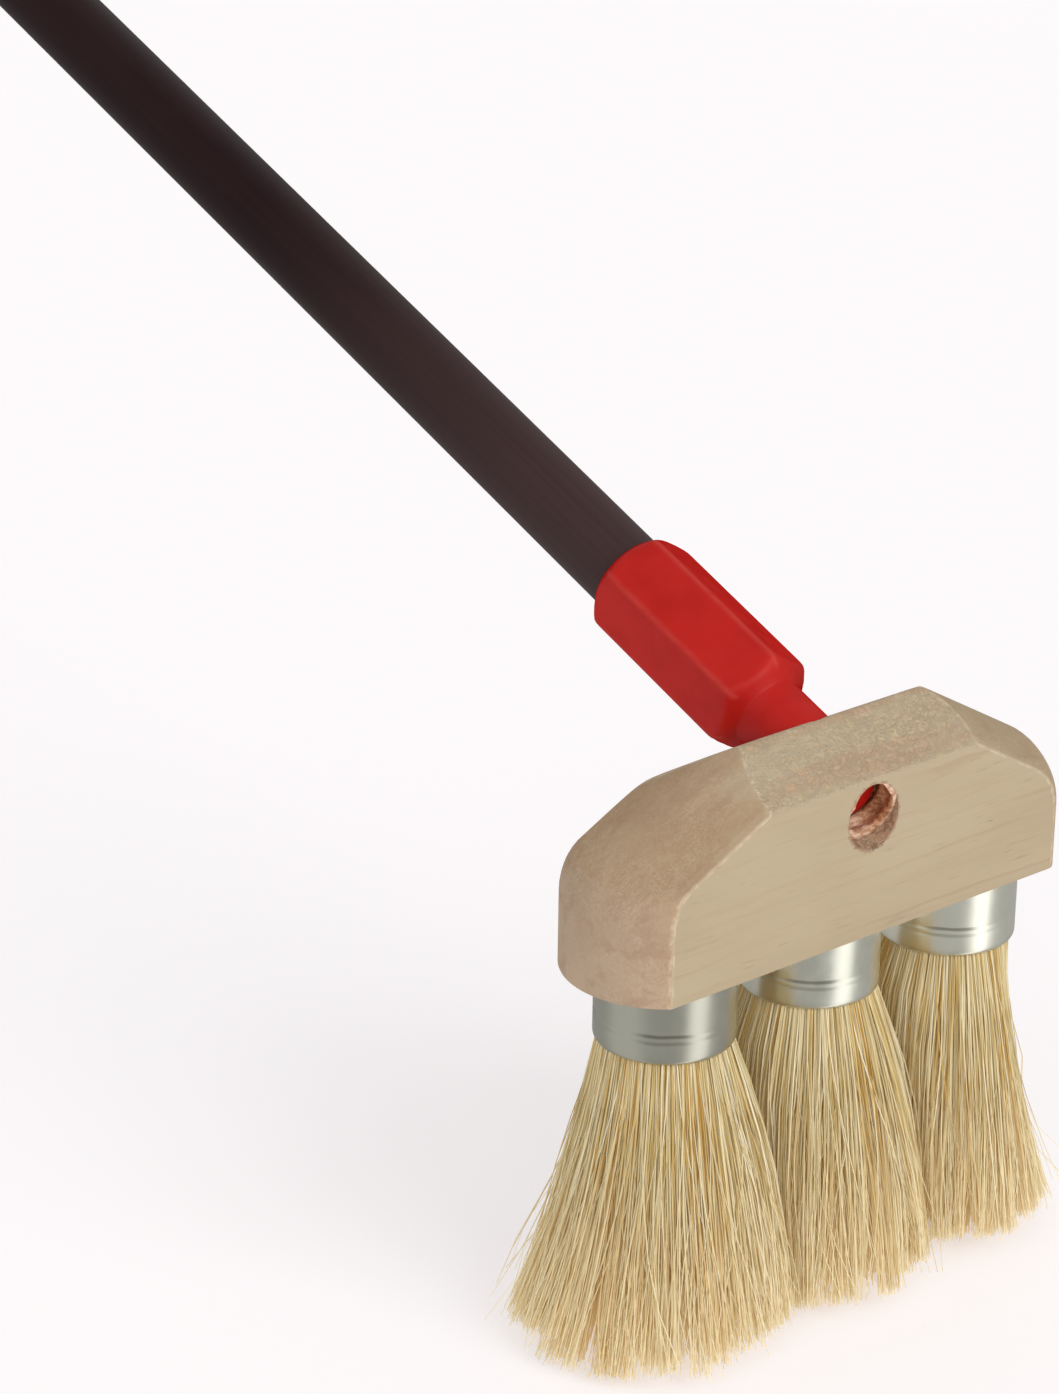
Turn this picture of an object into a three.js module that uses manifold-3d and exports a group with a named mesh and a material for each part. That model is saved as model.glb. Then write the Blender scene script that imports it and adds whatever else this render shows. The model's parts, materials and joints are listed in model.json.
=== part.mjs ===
// A three-knot roof brush: a shaped wooden block over three steel ferrules, each holding a knot
// of plant fibre, and a long tube handle whose hex socket screws into the block at a slant.
// Millimetres, +Z up. The origin is on the fibre tips' plane, under the middle knot.
// +X runs along the block, and the handle leaves towards +Y.

import * as THREE from "three";
import { mergeVertices } from "three/addons/utils/BufferGeometryUtils.js";
import Module from "manifold-3d";

const wasm = await Module();
wasm.setup();

// ---------------------------------------------------------------- driving dimensions
const trimLength = 95; // free length of the fibres, below the ferrules
const knotSpacing = 57.15;
const knotTipRadius = 40; // half the width of a knot at its tips
const knotGap = 0.6; // between neighbouring knots, where they press together

const ferruleRadius = 21;
const ferruleWall = 0.6;
const ferruleShown = 23.2; // height of the ferrule below the block
const ferruleRecess = 8; // height of the ferrule inside the block
const lipInset = 0.6; // how far the rolled lip turns in
const lipHeight = 2;

const blockWidth = 48.7;
const blockLength = 177.8;
const faceHeight = 50.4; // front face, from the underside up to the bevel
const endArcRadius = 30.1; // the rounded ends, seen from above
const frontSlope = 0.437; // rise over run of the front bevel
const backSlope = 0.618; // the back bevel is steeper, so the back face is lower
const ridgeRound = 0.8;
const shoulderRound = 15; // the shoulders are rounded much more, across the ridge
// The sloping shoulders are sawn unequally. Each leaves the ridge at its start, measured from the
// middle, falls by its slope towards its end, and by frontFall or backFall over the half width.
const leftShoulder = { start: 31.3, slope: 0.51, frontFall: 0.23, backFall: 0.27 };
const rightShoulder = { start: 41.5, slope: 0.59, frontFall: 0.42, backFall: 0.42 };
const kneeSize = 9; // rounding between the sloping top and the upright end

const handleTilt = 20.6; // degrees above level
const holeHeight = 38.5; // centre of the hole's front mouth above the underside
const threadPitch = 5.08;
const threadRadius = 8.5; // middle of the stem's thread
const threadDepth = 1.5;
const threadClearance = 0.4;

const tubeRadius = 12.7;
const tubeWall = 2.2;
const handleReach = 1219; // from the stem's tip to the end of the cap
const hexAcrossFlats = 31.75;
const collarRadius = 11.5;

const slipGap = 0.3; // between pieces that are fitted into each other

// Facets round one turn
const boreFacets = 48;
const tubeFacets = 36;
const roundFacets = 32;
const cupFacets = 28;
const smallFacets = 24;
const threadFacets = 20;
const pilotFacets = 16;
const screwFacets = 8;
const threadRows = 6; // along one turn of the handle's thread
const screwThreadRows = 4;

// Places along the handle's axis, measured from the hole's front mouth
const stemTip = 8.5;
const collarFoot = 30.5;
const hexFoot = 49.7;
const tubeSeat = 58;
const socketRim = 115;
const handleEnd = stemTip + handleReach;

// Heights
const mouthZ = trimLength;
const blockZ = mouthZ + ferruleShown;
const ferruleTopZ = blockZ + ferruleRecess;

const halfWidth = blockWidth / 2;
const knots = [
  { side: "left", x: -knotSpacing },
  { side: "middle", x: 0 },
  { side: "right", x: knotSpacing },
];

// ---------------------------------------------------------------- materials
function finish(color, roughness, metalness) {
  return new THREE.MeshStandardMaterial({ color, roughness, metalness });
}

const materials = {
  wood: finish(0xc9b68f, 0.65, 0),
  steel: finish(0xa9aba3, 0.3, 1),
  zinc: finish(0xb9b9ae, 0.4, 1),
  resin: finish(0x4a3524, 0.5, 0),
  fibre: finish(0xcfb583, 0.8, 0),
  redPlastic: finish(0xb8231f, 0.4, 0),
  darkTube: finish(0x261a1c, 0.45, 0),
  plug: finish(0xb99b6b, 0.7, 0),
  blackVinyl: finish(0x151515, 0.6, 0),
};

// ---------------------------------------------------------------- solids
function toSolid(geometry) {
  const bare = geometry.clone();
  bare.deleteAttribute("normal");
  bare.deleteAttribute("uv");
  const merged = mergeVertices(bare, 1e-4);
  const mesh = new wasm.Mesh({
    numProp: 3,
    vertProperties: new Float32Array(merged.attributes.position.array),
    triVerts: new Uint32Array(merged.index.array),
  });
  return new wasm.Manifold(mesh);
}

function toGeometry(solid) {
  const mesh = solid.getMesh();
  const geometry = new THREE.BufferGeometry();
  geometry.setAttribute("position", new THREE.BufferAttribute(mesh.vertProperties, 3));
  geometry.setIndex(new THREE.BufferAttribute(mesh.triVerts, 1));
  geometry.computeVertexNormals();
  return geometry;
}

// A solid of revolution about +Z from [radius, height] corners that close on themselves
function turned(corners, segments) {
  const points = corners.map(([radius, height]) => new THREE.Vector2(radius, height));
  return new THREE.LatheGeometry(points, segments).rotateX(Math.PI / 2);
}

// An upright cylinder between two heights
function rod(radius, bottom, top, segments) {
  const cylinder = new THREE.CylinderGeometry(radius, radius, top - bottom, segments);
  return cylinder.rotateX(Math.PI / 2).translate(0, 0, (bottom + top) / 2);
}

// An upright rod with a right-hand thread, whose radius follows the thread's wave.
// The wave fades to the root over the last turn at each end that asks for it.
function threadedRod(shape) {
  const { middle, depth, pitch, bottom, top, fadeBottom, fadeTop, segments, rowsPerTurn } = shape;
  const length = top - bottom;
  const midway = 0.5; // of the unit radius: parts the end caps' centres from the wall
  const rows = Math.ceil((length / pitch) * rowsPerTurn);
  const geometry = new THREE.CylinderGeometry(1, 1, length, segments, rows)
    .rotateX(Math.PI / 2)
    .translate(0, 0, (bottom + top) / 2);
  const position = geometry.attributes.position;
  for (let i = 0; i < position.count; i += 1) {
    const x = position.getX(i);
    const y = position.getY(i);
    const z = position.getZ(i);
    const fromBottom = fadeBottom ? Math.min(1, (z - bottom) / pitch) : 1;
    const fromTop = fadeTop ? Math.min(1, (top - z) / pitch) : 1;
    const wave = (1 + Math.cos((2 * Math.PI * z) / pitch - Math.atan2(y, x))) / 2;
    const radius = middle - depth / 2 + depth * wave * fromBottom * fromTop;
    const onRim = Math.hypot(x, y) > midway;
    if (onRim) position.setXY(i, x * radius, y * radius);
  }
  return geometry;
}

// ---------------------------------------------------------------- the block
// Half the block's length at a distance y from its middle plane
function halfLength(y) {
  const arcCentre = blockLength / 2 - endArcRadius;
  return arcCentre + Math.sqrt(endArcRadius ** 2 - y ** 2);
}

// Distance from the ridge, rounded where it passes zero
function fromRidge(y, round) {
  return Math.hypot(y, round) - round;
}

// The falls away from the ridge at y: of the bevel, and across the shoulder on the side of x
function falls(x, y) {
  const shoulder = x < 0 ? leftShoulder : rightShoulder;
  const share = fromRidge(y, shoulderRound) / fromRidge(halfWidth, shoulderRound);
  return {
    ...shoulder,
    bevel: (y < 0 ? frontSlope : backSlope) * fromRidge(y, ridgeRound),
    across: (y < 0 ? shoulder.frontFall : shoulder.backFall) * halfWidth * share,
  };
}

// Height of the block's top above its underside: the lower of bevel and shoulder, less the knee
function topHeight(x, y) {
  const { start, slope, bevel, across } = falls(x, y);
  const ridgeHeight = faceHeight + frontSlope * fromRidge(halfWidth, ridgeRound);
  const shoulderFall = slope * (Math.abs(x) - start) + across;
  const inward = Math.min(kneeSize, halfLength(y) - Math.abs(x));
  const knee = kneeSize - Math.sqrt(kneeSize ** 2 - (kneeSize - inward) ** 2);
  return ridgeHeight - Math.max(bevel, shoulderFall) - knee;
}

// How far from the middle the bevel turns into the shoulder
function mitreAt(x, y) {
  const { start, slope, bevel, across } = falls(x, y);
  return start + (bevel - across) / slope;
}

function blockBlank() {
  const columns = 32;
  const rows = 10;
  const levelShare = 0.25; // share of the columns over the level part of the top
  const crowding = 1.6; // brings the outer columns closer together, at the knee
  const geometry = new THREE.BoxGeometry(2, 2, 1, columns, rows, 1);
  const position = geometry.attributes.position;
  for (let i = 0; i < position.count; i += 1) {
    const side = Math.sign(position.getX(i));
    const along = Math.abs(position.getX(i));
    const y = position.getY(i) * halfWidth;
    const outer = Math.max(0, (along - levelShare) / (1 - levelShare));
    const eased = 1 - (1 - outer) ** crowding;
    const mitre = mitreAt(side, y);
    const level = (Math.min(along, levelShare) / levelShare) * mitre;
    const x = side * (level + eased * (halfLength(y) - mitre));
    const onTop = position.getZ(i) > 0;
    position.setXYZ(i, x, y, blockZ + (onTop ? topHeight(x, y) : 0));
  }
  return geometry;
}

// The handle's own frame: its axis is +Z and its origin is the hole's front mouth
const handleFrame = new THREE.Group();
handleFrame.position.set(0, -halfWidth, blockZ + holeHeight);
handleFrame.rotation.x = THREE.MathUtils.degToRad(handleTilt - 90);
handleFrame.updateMatrixWorld(true);

const hexCornerRadius = hexAcrossFlats / Math.sqrt(3);
const screwLength = 25; // above the ferrule
const screwThreadRadius = 2.4;
const screwThreadDepth = 0.7;
const pilotRadius = screwThreadRadius + screwThreadDepth / 2 + slipGap;

function blockGeometry() {
  const clear = 5; // how far the cutters run past the wood
  const spotFaceRadius = hexCornerRadius + 3 * slipGap;
  const mouthDepth = 2; // the plain hole in front of the thread
  let block = toSolid(blockBlank());
  const thread = threadedRod({
    middle: threadRadius + threadClearance,
    depth: threadDepth,
    pitch: threadPitch,
    bottom: -2 * clear,
    top: collarFoot + clear,
    segments: threadFacets,
    rowsPerTurn: threadRows,
  });
  const mouthRadius = threadRadius + threadDepth / 2 + threadClearance;
  const outside = hexFoot + 4 * clear;
  const mouth = rod(mouthRadius, -2 * clear, mouthDepth, cupFacets);
  const seat = rod(collarRadius + 2 * slipGap, collarFoot - slipGap, outside, roundFacets);
  const spotFace = rod(spotFaceRadius, hexFoot - 2 * slipGap, outside, boreFacets);
  for (const cutter of [thread, mouth, seat, spotFace]) {
    block = block.subtract(toSolid(cutter.applyMatrix4(handleFrame.matrixWorld)));
  }
  for (const { x } of knots) {
    const recessTop = ferruleTopZ + slipGap;
    const recess = rod(ferruleRadius + slipGap, blockZ - clear, recessTop, boreFacets);
    const pilot = rod(pilotRadius, ferruleTopZ, recessTop + screwLength, pilotFacets);
    for (const cutter of [recess, pilot]) {
      block = block.subtract(toSolid(cutter.translate(x, 0, 0)));
    }
  }
  return toGeometry(block);
}

// ---------------------------------------------------------------- one knot and its ferrule
const screwHoleRadius = 3.1;
const grooveHeights = [7, 9.2]; // above the ferrule's mouth
const grooveDepth = 0.25;
const grooveWidth = 1;
const cupShoulder = 1.5;
const innerShoulder = 1.2;

// A cup, open downwards, with a rolled lip at the mouth and two shallow grooves above it
function ferruleGeometry() {
  const inner = ferruleRadius - ferruleWall;
  const underside = ferruleTopZ - ferruleWall;
  const outside = [
    [ferruleRadius - lipInset, mouthZ],
    [ferruleRadius - lipInset / 4, mouthZ + lipHeight / 3],
    [ferruleRadius, mouthZ + lipHeight],
  ];
  for (const height of grooveHeights) {
    outside.push([ferruleRadius, mouthZ + height - grooveWidth / 2]);
    outside.push([ferruleRadius - grooveDepth, mouthZ + height]);
    outside.push([ferruleRadius, mouthZ + height + grooveWidth / 2]);
  }
  const corners = [
    [inner - lipInset, mouthZ],
    ...outside,
    [ferruleRadius, ferruleTopZ - cupShoulder],
    [ferruleRadius - cupShoulder, ferruleTopZ],
    [screwHoleRadius, ferruleTopZ],
    [screwHoleRadius, underside],
    [inner - innerShoulder, underside],
    [inner, underside - innerShoulder],
    [inner, mouthZ + lipHeight],
    [inner - lipInset, mouthZ],
  ];
  return turned(corners, cupFacets);
}

const washerRadius = 7;
const washerThickness = 1.2;
const washerTopZ = ferruleTopZ - ferruleWall - slipGap;
const headTopZ = washerTopZ - washerThickness - slipGap;
const headHeight = 3.2;
const headRadius = 4.8;
const screwPitch = 2.8;
const slotLength = 4.6; // of the cross recess
const slotWidth = 0.9;
const slotDepth = 1.4;

function washerGeometry() {
  const corners = [
    [screwHoleRadius, washerTopZ - washerThickness],
    [washerRadius, washerTopZ - washerThickness],
    [washerRadius, washerTopZ],
    [screwHoleRadius, washerTopZ],
    [screwHoleRadius, washerTopZ - washerThickness],
  ];
  return turned(corners, smallFacets);
}

// A pan-head wood screw, head down, with a cross recess in the head
function screwGeometry() {
  const overlap = 0.1; // between the shapes that are joined
  const crown = 1.4;
  const tipLength = 3.5;
  const threadFoot = ferruleTopZ + 1;
  const threadTop = ferruleTopZ + screwLength - tipLength;
  const head = turned(
    [
      [0, headTopZ - headHeight],
      [headRadius - crown, headTopZ - headHeight],
      [headRadius - crown / 4, headTopZ - headHeight / 2],
      [headRadius, headTopZ],
      [0, headTopZ],
    ],
    pilotFacets,
  );
  const root = screwThreadRadius - screwThreadDepth / 2;
  const shank = rod(root, headTopZ - overlap, threadFoot + overlap, screwFacets);
  const thread = threadedRod({
    middle: screwThreadRadius,
    depth: screwThreadDepth,
    pitch: screwPitch,
    bottom: threadFoot,
    top: threadTop,
    fadeBottom: true,
    fadeTop: true,
    segments: screwFacets,
    rowsPerTurn: screwThreadRows,
  });
  const tip = new THREE.ConeGeometry(root, tipLength, screwFacets).rotateX(Math.PI / 2);
  tip.translate(0, 0, threadTop + tipLength / 2 - overlap);
  const slot = new THREE.BoxGeometry(slotLength, slotWidth, slotDepth);
  slot.translate(0, 0, headTopZ - headHeight + slotDepth / 2 - overlap);
  let screw = toSolid(head).add(toSolid(shank)).add(toSolid(thread)).add(toSolid(tip));
  screw = screw.subtract(toSolid(slot)).subtract(toSolid(slot.clone().rotateZ(Math.PI / 2)));
  return toGeometry(screw);
}

// The resin fills the cup around the screw head and stops short of the mouth, where the fibres
// need room to tilt
const fibreRoom = 7;

function resinGeometry() {
  const radius = ferruleRadius - ferruleWall - slipGap;
  const bottom = mouthZ + fibreRoom;
  const top = ferruleTopZ - ferruleWall - slipGap;
  const shoulder = innerShoulder + slipGap;
  const pocketRadius = washerRadius + slipGap;
  const pocketFloor = headTopZ - headHeight - slipGap;
  const corners = [
    [0, bottom],
    [radius, bottom],
    [radius, top - shoulder],
    [radius - shoulder, top],
    [pocketRadius, top],
    [pocketRadius, pocketFloor],
    [0, pocketFloor],
  ];
  return turned(corners, roundFacets);
}

// The knot's envelope: narrow at the mouth, where it tilts inside the lip, then spreading to the
// tips, and flattened where it presses against its neighbours
function knotGeometry(side) {
  const neckGap = 1.1; // room for the neck to tilt inside the lip
  const neckRadius = ferruleRadius - ferruleWall - lipInset - neckGap;
  const neckLength = 5.5;
  const tipRound = 1.5;
  const flare = 0.95; // 1 is a straight cone
  const spreadSteps = 7;
  const corners = [
    [0, 0],
    [knotTipRadius - tipRound, 0],
  ];
  for (let i = 0; i <= spreadSteps; i += 1) {
    const share = i / spreadSteps;
    const radius = knotTipRadius + (neckRadius - knotTipRadius) * share ** flare;
    corners.push([radius, tipRound + (mouthZ - neckLength - tipRound) * share]);
  }
  corners.push([neckRadius, mouthZ]);
  corners.push([0, mouthZ]);
  const slabHalf = (knotSpacing - knotGap) / 2;
  const slab = new THREE.BoxGeometry(1, 4 * knotTipRadius, 4 * trimLength);
  const low = side === "left" ? -2 * knotTipRadius : -slabHalf;
  const high = side === "right" ? 2 * knotTipRadius : slabHalf;
  slab.scale(high - low, 1, 1).translate((low + high) / 2, 0, 0);
  return toGeometry(toSolid(turned(corners, roundFacets)).intersect(toSolid(slab)));
}

// ---------------------------------------------------------------- the handle
// [radius, height] corners from one place to another, on a power curve between two radii
function sweep(from, to, power, steps) {
  const corners = [];
  for (let i = 0; i <= steps; i += 1) {
    const share = i / steps;
    const radius = from.radius + (to.radius - from.radius) * share ** power;
    corners.push([radius, from.height + (to.height - from.height) * share]);
  }
  return corners;
}

// Threaded stem, collar and hexagonal grip in one moulding, bored for the tube
function socketGeometry() {
  const overlap = 0.5; // between the shapes that are joined
  const beyond = 10; // how far the trimming shapes run past the moulding
  const collarEdge = 0.8;
  const shoulderRadius = 12.2; // where the collar turns into the grip's shoulder
  const shoulderLength = 8;
  const shoulderPower = 0.5; // swells at once, then slowly
  const crownLength = 8; // the rounded far end of the grip
  const crownPower = 2; // narrows slowly, then quickly
  const rimRadius = 14.8;
  const sweepSteps = 4;
  const stem = threadedRod({
    middle: threadRadius,
    depth: threadDepth,
    pitch: threadPitch,
    bottom: stemTip,
    top: collarFoot + overlap,
    fadeBottom: true,
    segments: threadFacets,
    rowsPerTurn: threadRows,
  });
  const shoulder = sweep(
    { radius: shoulderRadius, height: hexFoot },
    { radius: hexCornerRadius, height: hexFoot + shoulderLength },
    shoulderPower,
    sweepSteps,
  );
  const crown = sweep(
    { radius: hexCornerRadius, height: socketRim - crownLength },
    { radius: rimRadius, height: socketRim },
    crownPower,
    sweepSteps,
  );
  const corners = [
    [0, collarFoot],
    [collarRadius - collarEdge, collarFoot],
    [collarRadius, collarFoot + collarEdge],
    [collarRadius, hexFoot - 2 * collarEdge],
    ...shoulder,
    ...crown,
    [0, socketRim],
  ];
  const rounding = turned(corners, tubeFacets);
  const hexagon = rod(hexCornerRadius, collarFoot - beyond, socketRim + beyond, 6);
  const bore = rod(tubeRadius + slipGap, tubeSeat, socketRim + beyond, tubeFacets);
  const body = toSolid(rounding).intersect(toSolid(hexagon));
  return toGeometry(body.add(toSolid(stem)).subtract(toSolid(bore)));
}

const capThickness = 4; // of the cap's closed end

function tubeGeometry() {
  const bottom = tubeSeat + slipGap;
  const top = handleEnd - capThickness - slipGap;
  const corners = [
    [tubeRadius - tubeWall, bottom],
    [tubeRadius, bottom],
    [tubeRadius, top],
    [tubeRadius - tubeWall, top],
    [tubeRadius - tubeWall, bottom],
  ];
  return turned(corners, tubeFacets);
}

// A round wooden plug that stiffens the tube's end inside the socket
function plugGeometry() {
  const plugLength = 100;
  const chamfer = 1;
  const radius = tubeRadius - tubeWall - slipGap;
  const bottom = tubeSeat + 2 * slipGap;
  const top = bottom + plugLength;
  const corners = [
    [0, bottom],
    [radius - chamfer, bottom],
    [radius, bottom + chamfer],
    [radius, top - chamfer],
    [radius - chamfer, top],
    [0, top],
  ];
  return turned(corners, smallFacets);
}

// A vinyl cap over the tube's far end, with a rounded closed end and a rolled skirt
function capGeometry() {
  const capLength = 45;
  const wall = 1.6;
  const roll = 0.7; // how far the skirt's roll stands out
  const rollLength = 3;
  const endRound = 4;
  const inner = tubeRadius + slipGap;
  const outer = inner + wall;
  const skirt = handleEnd - capLength;
  const floor = handleEnd - capThickness;
  const corners = [
    [inner, skirt],
    [outer + roll, skirt],
    [outer + roll, skirt + rollLength],
    [outer, skirt + rollLength + roll],
  ];
  for (let i = 0; i <= 3; i += 1) {
    const turn = (Math.PI / 6) * i;
    const radius = outer - endRound * (1 - Math.cos(turn));
    corners.push([radius, handleEnd - endRound * (1 - Math.sin(turn))]);
  }
  corners.push([0, handleEnd], [0, floor], [inner, floor], [inner, skirt]);
  return turned(corners, tubeFacets);
}

// ---------------------------------------------------------------- assembly
function addPiece(group, name, geometry, material) {
  const piece = new THREE.Mesh(geometry, material);
  piece.name = name;
  group.add(piece);
}

const brush = new THREE.Group();
addPiece(brush, "head_block", blockGeometry(), materials.wood);

for (const { side, x } of knots) {
  const station = new THREE.Group();
  station.position.x = x;
  addPiece(station, `ferrule_${side}`, ferruleGeometry(), materials.steel);
  addPiece(station, `ferrule_washer_${side}`, washerGeometry(), materials.zinc);
  addPiece(station, `ferrule_screw_${side}`, screwGeometry(), materials.zinc);
  addPiece(station, `setting_resin_${side}`, resinGeometry(), materials.resin);
  addPiece(station, `bristle_knot_${side}`, knotGeometry(side), materials.fibre);
  brush.add(station);
}

addPiece(handleFrame, "threaded_socket", socketGeometry(), materials.redPlastic);
addPiece(handleFrame, "handle_tube", tubeGeometry(), materials.darkTube);
addPiece(handleFrame, "tube_plug", plugGeometry(), materials.plug);
addPiece(handleFrame, "handle_end_cap", capGeometry(), materials.blackVinyl);
brush.add(handleFrame);

export default brush;
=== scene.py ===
import json
import math

import bmesh
import bpy
import numpy as np
from mathutils import Matrix, Vector


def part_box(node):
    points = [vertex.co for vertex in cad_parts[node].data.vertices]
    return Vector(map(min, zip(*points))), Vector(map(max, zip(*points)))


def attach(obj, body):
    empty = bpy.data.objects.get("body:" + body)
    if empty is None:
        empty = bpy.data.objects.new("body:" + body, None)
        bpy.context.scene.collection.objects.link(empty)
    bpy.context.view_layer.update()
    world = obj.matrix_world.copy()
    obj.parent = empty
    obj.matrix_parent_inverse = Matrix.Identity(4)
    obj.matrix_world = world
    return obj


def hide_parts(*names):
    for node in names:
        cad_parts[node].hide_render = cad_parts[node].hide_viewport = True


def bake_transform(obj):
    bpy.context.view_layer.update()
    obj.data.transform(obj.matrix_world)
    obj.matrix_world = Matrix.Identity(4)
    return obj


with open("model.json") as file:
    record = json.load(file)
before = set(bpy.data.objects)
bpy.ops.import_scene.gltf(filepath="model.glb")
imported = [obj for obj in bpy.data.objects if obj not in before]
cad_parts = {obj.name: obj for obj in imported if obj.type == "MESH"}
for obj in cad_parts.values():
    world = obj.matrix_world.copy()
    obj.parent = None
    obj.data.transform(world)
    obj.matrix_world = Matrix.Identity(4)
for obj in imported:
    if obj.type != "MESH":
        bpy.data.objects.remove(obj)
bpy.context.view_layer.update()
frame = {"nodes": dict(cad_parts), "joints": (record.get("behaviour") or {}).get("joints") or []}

# ---- sizes, from the frame
MM = 0.001
SIDES = ("left", "middle", "right")

block_low, block_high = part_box("head_block")
block_z = block_low.z
half_width = block_high.y
block_reach = block_high.x
ferrule_low, ferrule_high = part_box("ferrule_middle")
ferrule_radius = ferrule_high.x
mouth_z = ferrule_low.z
ferrule_top = ferrule_high.z
knot_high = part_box("bristle_knot_middle")[1]
knot_half = knot_high.x
knot_reach = knot_high.y
knot_x = {side: sum(c.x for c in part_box(f"ferrule_{side}")) / 2 for side in SIDES}

turn_joint = next(j for j in frame["joints"] if j["name"] == "head_turn")
hole_mouth = Vector(turn_joint["pos_m"])
handle_axis = -Vector(turn_joint["axis"])
handle_tilt = math.atan2(handle_axis.z, handle_axis.y)
handle_frame = Matrix.Translation(hole_mouth) @ Matrix.Rotation(handle_tilt - math.pi / 2, 4, "X")

# Places along the handle's axis, from the hole's front mouth, and radii about it
STEM_TIP = 8.5 * MM
COLLAR_FOOT = 30.5 * MM
HEX_FOOT = 49.7 * MM
TUBE_SEAT = 58 * MM
SOCKET_RIM = 115 * MM
HANDLE_END = STEM_TIP + 1219 * MM
THREAD_PITCH = 5.08 * MM
THREAD_RADIUS = 8.5 * MM
THREAD_DEPTH = 1.5 * MM
THREAD_CLEARANCE = 0.4 * MM
COLLAR_RADIUS = 11.5 * MM
HEX_APOTHEM = 15.875 * MM
TUBE_RADIUS = 12.7 * MM
TUBE_WALL = 2.2 * MM
TUBE_SIDES = 96  # of the tube's mesh, and of the cap's
SLIP = 0.3 * MM  # the gap between pieces that are fitted into each other
THREAD_ROWS = 14  # rings of the thread's mesh in one turn


# ---- mesh helpers
def make_mesh(name, points, faces, sharp_degrees=32):
    mesh = bpy.data.meshes.new(name)
    mesh.from_pydata(np.asarray(points).tolist(), [], faces)
    mesh.validate()
    mesh.shade_smooth()
    mesh.set_sharp_from_angle(angle=math.radians(sharp_degrees))
    obj = bpy.data.objects.new(name, mesh)
    bpy.context.scene.collection.objects.link(obj)
    return obj


def quads_between(low, high, count):
    """The faces between two rings of points, which start at the indices low and high."""
    after = [*range(1, count), 0]
    return [(low + i, low + j, high + j, high + i) for i, j in enumerate(after)]


def write_attribute(obj, name, values):
    attribute = obj.data.attributes.new(name, "FLOAT", "POINT")
    attribute.data.foreach_set("value", values.astype(np.float32))


def loft(name, rings, sides, matrix=None, closed=False, sharp_degrees=32):
    """A skin over rings of (height, radius), whose radius may vary with the angle. A ring of radius
    zero is a pole, and a closed loft joins its last ring to its first."""
    angle = np.linspace(0, 2 * math.pi, sides, endpoint=False)
    points, starts = [], []
    for height, radius in rings:
        pole = np.ndim(radius) == 0 and radius == 0
        starts.append((len(points), pole))
        if pole:
            points.append((0, 0, height))
        else:
            points += zip(radius * np.cos(angle), radius * np.sin(angle), [height] * sides)
    faces = []
    pairs = list(zip(starts, starts[1:])) + ([(starts[-1], starts[0])] if closed else [])
    for (low, low_pole), (high, high_pole) in pairs:
        for a, b, c, d in quads_between(low, high, sides):
            faces.append((low, c, d) if low_pole else (a, b, high) if high_pole else (a, b, c, d))
    obj = make_mesh(name, points, faces, sharp_degrees)
    if matrix is not None:
        obj.data.transform(matrix)
    return obj


def lathe(name, corners, sides, matrix, closed=False):
    """A plain solid of revolution, from (radius, height) corners."""
    return loft(name, [(height, radius) for radius, height in corners], sides, matrix, closed)


def fillet(corners, index, size, steps=4):
    """The corners with one of them rounded off by an arc-like curve."""
    before, corner, after = (np.array(corners[index + k], float) for k in (-1, 0, 1))
    start = corner + (before - corner) * min(0.5, size / np.linalg.norm(before - corner))
    end = corner + (after - corner) * min(0.5, size / np.linalg.norm(after - corner))
    curve = []
    for t in np.linspace(0, 1, steps + 1):
        curve.append(tuple((1 - t) ** 2 * start + 2 * t * (1 - t) * corner + t * t * end))
    return curve


def rounded(corners, size, steps=4):
    """Every inner corner of an open profile rounded off; the two ends stay."""
    out = [corners[0]]
    for i in range(1, len(corners) - 1):
        out += fillet(corners, i, size, steps)
    return out + [corners[-1]]


def apply_modifiers(obj):
    graph = bpy.context.evaluated_depsgraph_get()
    mesh = bpy.data.meshes.new_from_object(obj.evaluated_get(graph))
    obj.modifiers.clear()
    obj.data = mesh


def cut(obj, cutter):
    modifier = obj.modifiers.new("cut", "BOOLEAN")
    modifier.operation = "DIFFERENCE"
    modifier.solver = "EXACT"
    modifier.object = cutter
    apply_modifiers(obj)
    bpy.data.objects.remove(cutter)


def thread_wave(angle, height):
    """From 0 at the thread's root to 1 at its crest."""
    return (1 + np.cos(2 * math.pi * height / THREAD_PITCH - angle)) / 2


def place_piece(obj, look, node, body):
    """Give a piece its look and slot, in place of a node of the frame."""
    obj.data.materials.clear()
    obj.data.materials.append(look)
    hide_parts(node)
    if body:
        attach(obj, body)


# ---- material helpers
def connect(tree, socket, value):
    """Link the socket to another one, or set it to a value."""
    if isinstance(value, bpy.types.NodeSocket):
        tree.links.new(value, socket)
    else:
        socket.default_value = value


def add_node(tree, kind, inputs=None, **settings):
    node = tree.nodes.new(kind)
    for key, value in settings.items():
        setattr(node, key, value)
    for key, value in (inputs or {}).items():
        connect(tree, node.inputs[key], value)
    return node


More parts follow.
